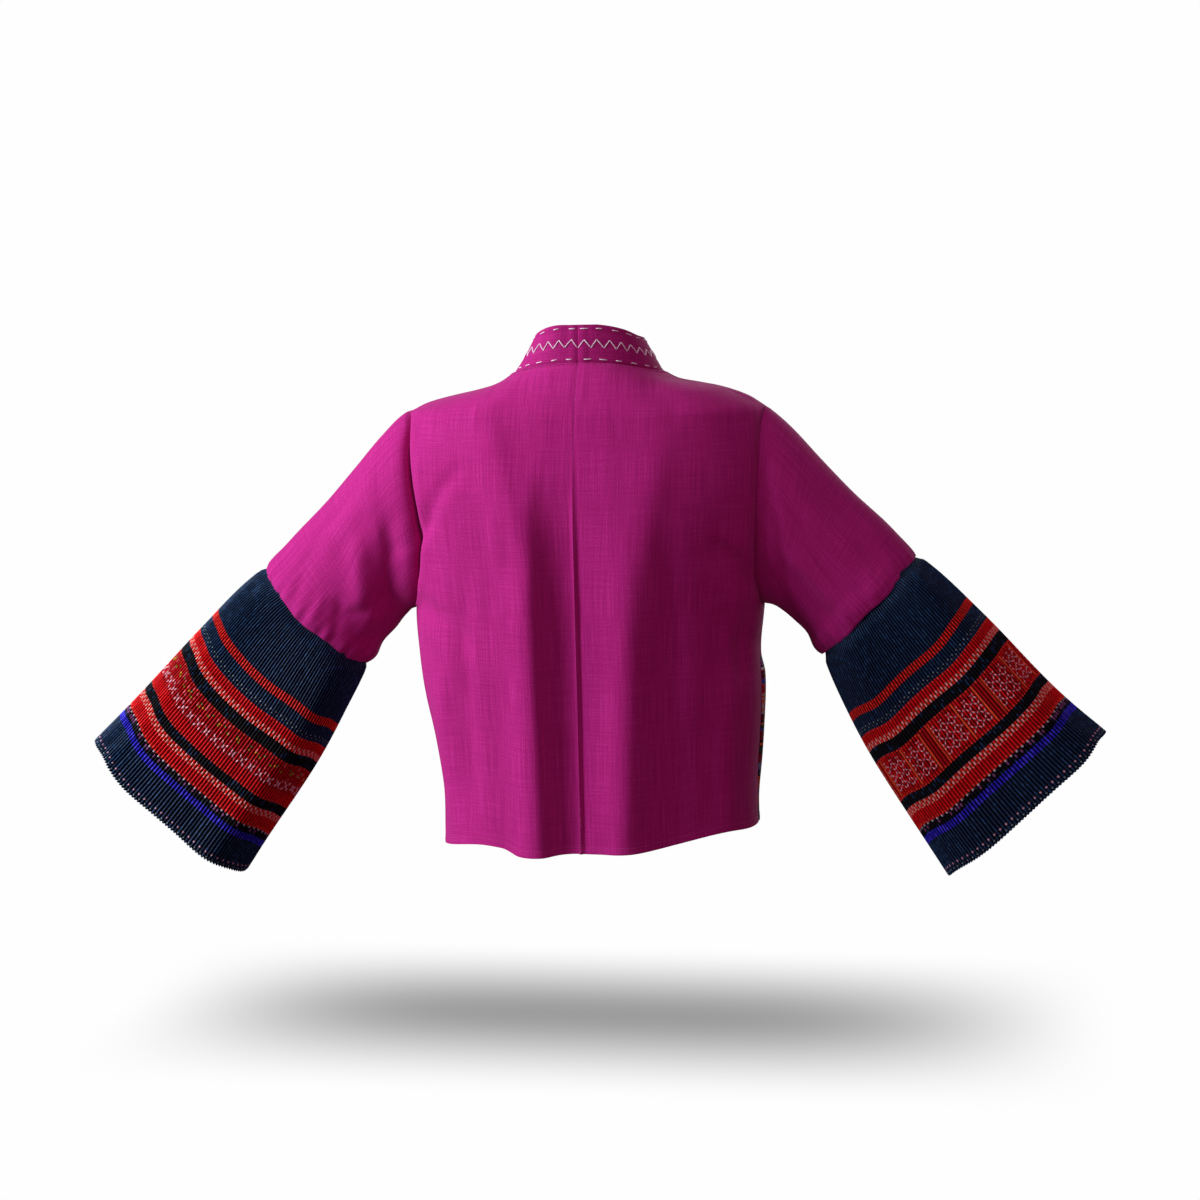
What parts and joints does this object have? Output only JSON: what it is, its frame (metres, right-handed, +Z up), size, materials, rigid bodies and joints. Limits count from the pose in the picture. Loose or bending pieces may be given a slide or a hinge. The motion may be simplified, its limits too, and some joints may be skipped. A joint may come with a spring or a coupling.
{
  "type": "hmong embroidered jacket",
  "caption": "Short hollow linen jacket with a stitched neck band, wide sleeves and pleated bell cuffs with embroidered bands, filled out as if worn.",
  "frame": {"origin": "middle of the neck opening, level with the neck seam at the centre back, where the wearer's neck and shoulders hold the jacket", "axes": "+Z up, the back of the jacket faces -Y and the fronts +Y, and the wearer's right sleeve points along +X"},
  "size_m": [1.0714, 0.2325, 0.5854],
  "materials": {
    "linen": "slubby plain-weave magenta linen, matt with a faint sheen",
    "linen_band": "folded magenta linen band, pressed, with white hand stitches",
    "banded_textile": "banded woven and stitched textile in reds, blue and orange",
    "indigo_cloth": "finely pleated indigo-dyed cloth with a dull calendered sheen",
    "embroidered_cloth": "finely pleated red cloth covered in embroidered and applied bands"
  },
  "bodies": {
    "root": {"back_left": "linen", "back_right": "linen", "front_left": "linen", "front_right": "linen", "front_textile_left": "banded_textile", "front_textile_right": "banded_textile", "neck_band_left": "linen_band", "neck_band_right": "linen_band", "sleeve_left": "linen", "sleeve_right": "linen", "cuff_top_left": "indigo_cloth", "cuff_top_right": "indigo_cloth", "cuff_band_left": "embroidered_cloth", "cuff_band_right": "embroidered_cloth", "cuff_hem_left": "indigo_cloth", "cuff_hem_right": "indigo_cloth"}
  },
  "joints": []
}
